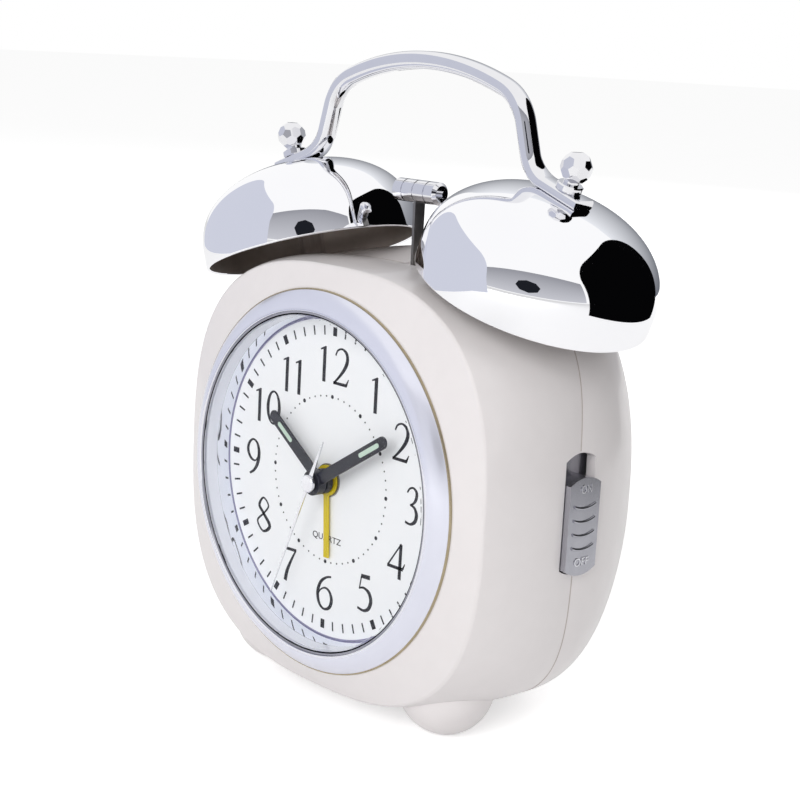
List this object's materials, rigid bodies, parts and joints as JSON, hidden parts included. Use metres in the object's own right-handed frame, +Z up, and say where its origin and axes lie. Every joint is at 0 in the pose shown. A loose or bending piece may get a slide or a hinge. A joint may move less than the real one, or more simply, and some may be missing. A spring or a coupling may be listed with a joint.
{
  "type": "twin-bell alarm clock",
  "caption": "Quartz desk alarm clock with two chrome bells under a carrying handle, a hammer between them, a round dial, ball feet and a side alarm switch.",
  "frame": {"origin": "on the table, under the middle of the clock's bounding box", "axes": "+X to the right seen from the front, +Y to the back, +Z up; the dial faces -Y"},
  "size_m": [0.1382, 0.0724, 0.1612],
  "materials": {
    "case_plastic": "pearl white moulding, glossy",
    "bright_chrome": "polished plating",
    "bell_steel": "dull, unplated",
    "bezel_plastic": "pale lilac-grey, glossy",
    "clear_lens": "clear moulded plastic",
    "dial_white": "white, printed in near-black",
    "steel": "plain",
    "switch_silver": "satin silver",
    "hand_black": "navy-black, satin",
    "hand_lume": "pale green glow paint",
    "second_silver": "satin silver",
    "alarm_yellow": "yellow, satin",
    "gear_nylon": "natural moulding",
    "rotor_magnet": "moulded magnet",
    "copper_wire": "enamelled copper wire",
    "black_plastic": "moulded",
    "board_green": "coated board",
    "knob_grey": "fluted moulding",
    "cell_jacket": "plain dark jacket",
    "rubber_foot": "soft grey pad"
  },
  "bodies": {
    "clock": {"battery_cell": "cell_jacket", "battery_contact_plates": "steel", "battery_spring": "steel", "bell_nuts": "bright_chrome", "bell_posts": "bell_steel", "bell_sleeves": "bell_steel", "bezel_ring": "bezel_plastic", "case_screws": "steel", "circuit_board": "board_green", "dial_nut": "steel", "dial_plate": "dial_white", "dial_rim": "dial_white", "front_case": "case_plastic", "hammer_bracket": "steel", "hammer_pivot_pin": "steel", "handle": "bright_chrome", "left_bell": "bright_chrome", "left_finial": "bright_chrome", "left_foot": "case_plastic", "lens": "clear_lens", "movement_cover": "black_plastic", "movement_housing": "black_plastic", "movement_screws": "steel", "movement_train_plate": "black_plastic", "quartz_crystal": "steel", "rear_case": "case_plastic", "rear_foot": "rubber_foot", "right_bell": "bright_chrome", "right_finial": "bright_chrome", "right_foot": "case_plastic", "stator": "steel", "stepper_coil": "copper_wire", "striker_bobbin": "black_plastic", "striker_coil": "copper_wire", "striker_core": "steel", "switch_contact": "board_green"},
    "second_hand": {"second_hand": "second_silver", "second_wheel": "gear_nylon"},
    "third_wheel": {"third_wheel": "gear_nylon"},
    "minute_hand": {"minute_hand": "hand_black", "minute_hand_lume": "hand_lume", "centre_wheel": "gear_nylon"},
    "minute_wheel": {"minute_wheel": "gear_nylon"},
    "hour_hand": {"hour_hand": "hand_black", "hour_hand_lume": "hand_lume", "hour_wheel": "gear_nylon"},
    "intermediate_wheel": {"intermediate_wheel": "gear_nylon"},
    "rotor": {"rotor": "rotor_magnet"},
    "time_set_knob": {"time_set_shaft": "steel", "time_set_knob": "knob_grey"},
    "alarm_hand": {"alarm_hand": "alarm_yellow", "alarm_wheel": "gear_nylon"},
    "alarm_set_knob": {"alarm_set_shaft": "steel", "alarm_set_knob": "knob_grey"},
    "hammer": {"hammer_head": "bright_chrome", "hammer_arm": "steel", "hammer_armature": "steel"},
    "alarm_switch": {"alarm_switch": "switch_silver"},
    "battery_door": {"battery_door": "case_plastic"}
  },
  "joints": [
    {"name": "second_hand_spin", "type": "hinge", "parent": "clock", "child": "second_hand", "pos_m": [0, -0.027, 0.0572], "axis": [0, 1, 0], "continuous": true},
    {"name": "third_wheel_spin", "type": "hinge", "parent": "clock", "child": "third_wheel", "pos_m": [0, -0.027, 0.0662], "axis": [0, 1, 0], "continuous": true},
    {"name": "minute_hand_spin", "type": "hinge", "parent": "clock", "child": "minute_hand", "pos_m": [0, -0.027, 0.0572], "axis": [0, 1, 0], "continuous": true},
    {"name": "minute_wheel_spin", "type": "hinge", "parent": "clock", "child": "minute_wheel", "pos_m": [0, -0.027, 0.04856], "axis": [0, 1, 0], "continuous": true},
    {"name": "hour_hand_spin", "type": "hinge", "parent": "clock", "child": "hour_hand", "pos_m": [0, -0.027, 0.0572], "axis": [0, 1, 0], "continuous": true},
    {"name": "intermediate_wheel_spin", "type": "hinge", "parent": "clock", "child": "intermediate_wheel", "pos_m": [-0.0066, -0.027, 0.0572], "axis": [0, 1, 0], "continuous": true},
    {"name": "rotor_spin", "type": "hinge", "parent": "clock", "child": "rotor", "pos_m": [-0.01206, -0.027, 0.06035], "axis": [0, 1, 0], "continuous": true},
    {"name": "time_set_knob_spin", "type": "hinge", "parent": "clock", "child": "time_set_knob", "pos_m": [0, -0.027, 0.03992], "axis": [0, 1, 0], "continuous": true},
    {"name": "alarm_set_knob_spin", "type": "hinge", "parent": "clock", "child": "alarm_set_knob", "pos_m": [0.0093, -0.027, 0.0572], "axis": [0, 1, 0], "continuous": true},
    {"name": "alarm_hand_spin", "type": "hinge", "parent": "clock", "child": "alarm_hand", "pos_m": [0, -0.027, 0.0572], "axis": [0, 1, 0], "continuous": true},
    {"name": "hammer_swing", "type": "hinge", "parent": "clock", "child": "hammer", "pos_m": [0, -0.0015, 0.0972], "axis": [0, 1, 0], "range_deg": [-12.3, 12.3], "stiffness_Nm_per_rad": 0.005},
    {"name": "alarm_switch_slide", "type": "slide", "parent": "clock", "child": "alarm_switch", "axis": [0, 0, 1], "range_m": [0, 0.0052]},
    {"name": "battery_door_lift", "type": "slide", "parent": "clock", "child": "battery_door", "axis": [0, 1, 0], "range_m": [0, 0.03]}
  ],
  "couplings": [
    {"joint": "third_wheel_spin", "follows": "second_hand_spin", "ratio": -0.13333},
    {"joint": "minute_hand_spin", "follows": "second_hand_spin", "ratio": 0.016667},
    {"joint": "minute_wheel_spin", "follows": "second_hand_spin", "ratio": -0.0055556},
    {"joint": "hour_hand_spin", "follows": "second_hand_spin", "ratio": 0.0013889},
    {"joint": "time_set_knob_spin", "follows": "second_hand_spin", "ratio": 0.016667},
    {"joint": "intermediate_wheel_spin", "follows": "second_hand_spin", "ratio": -5},
    {"joint": "rotor_spin", "follows": "second_hand_spin", "ratio": 30},
    {"joint": "alarm_hand_spin", "follows": "alarm_set_knob_spin", "ratio": -0.24}
  ]
}
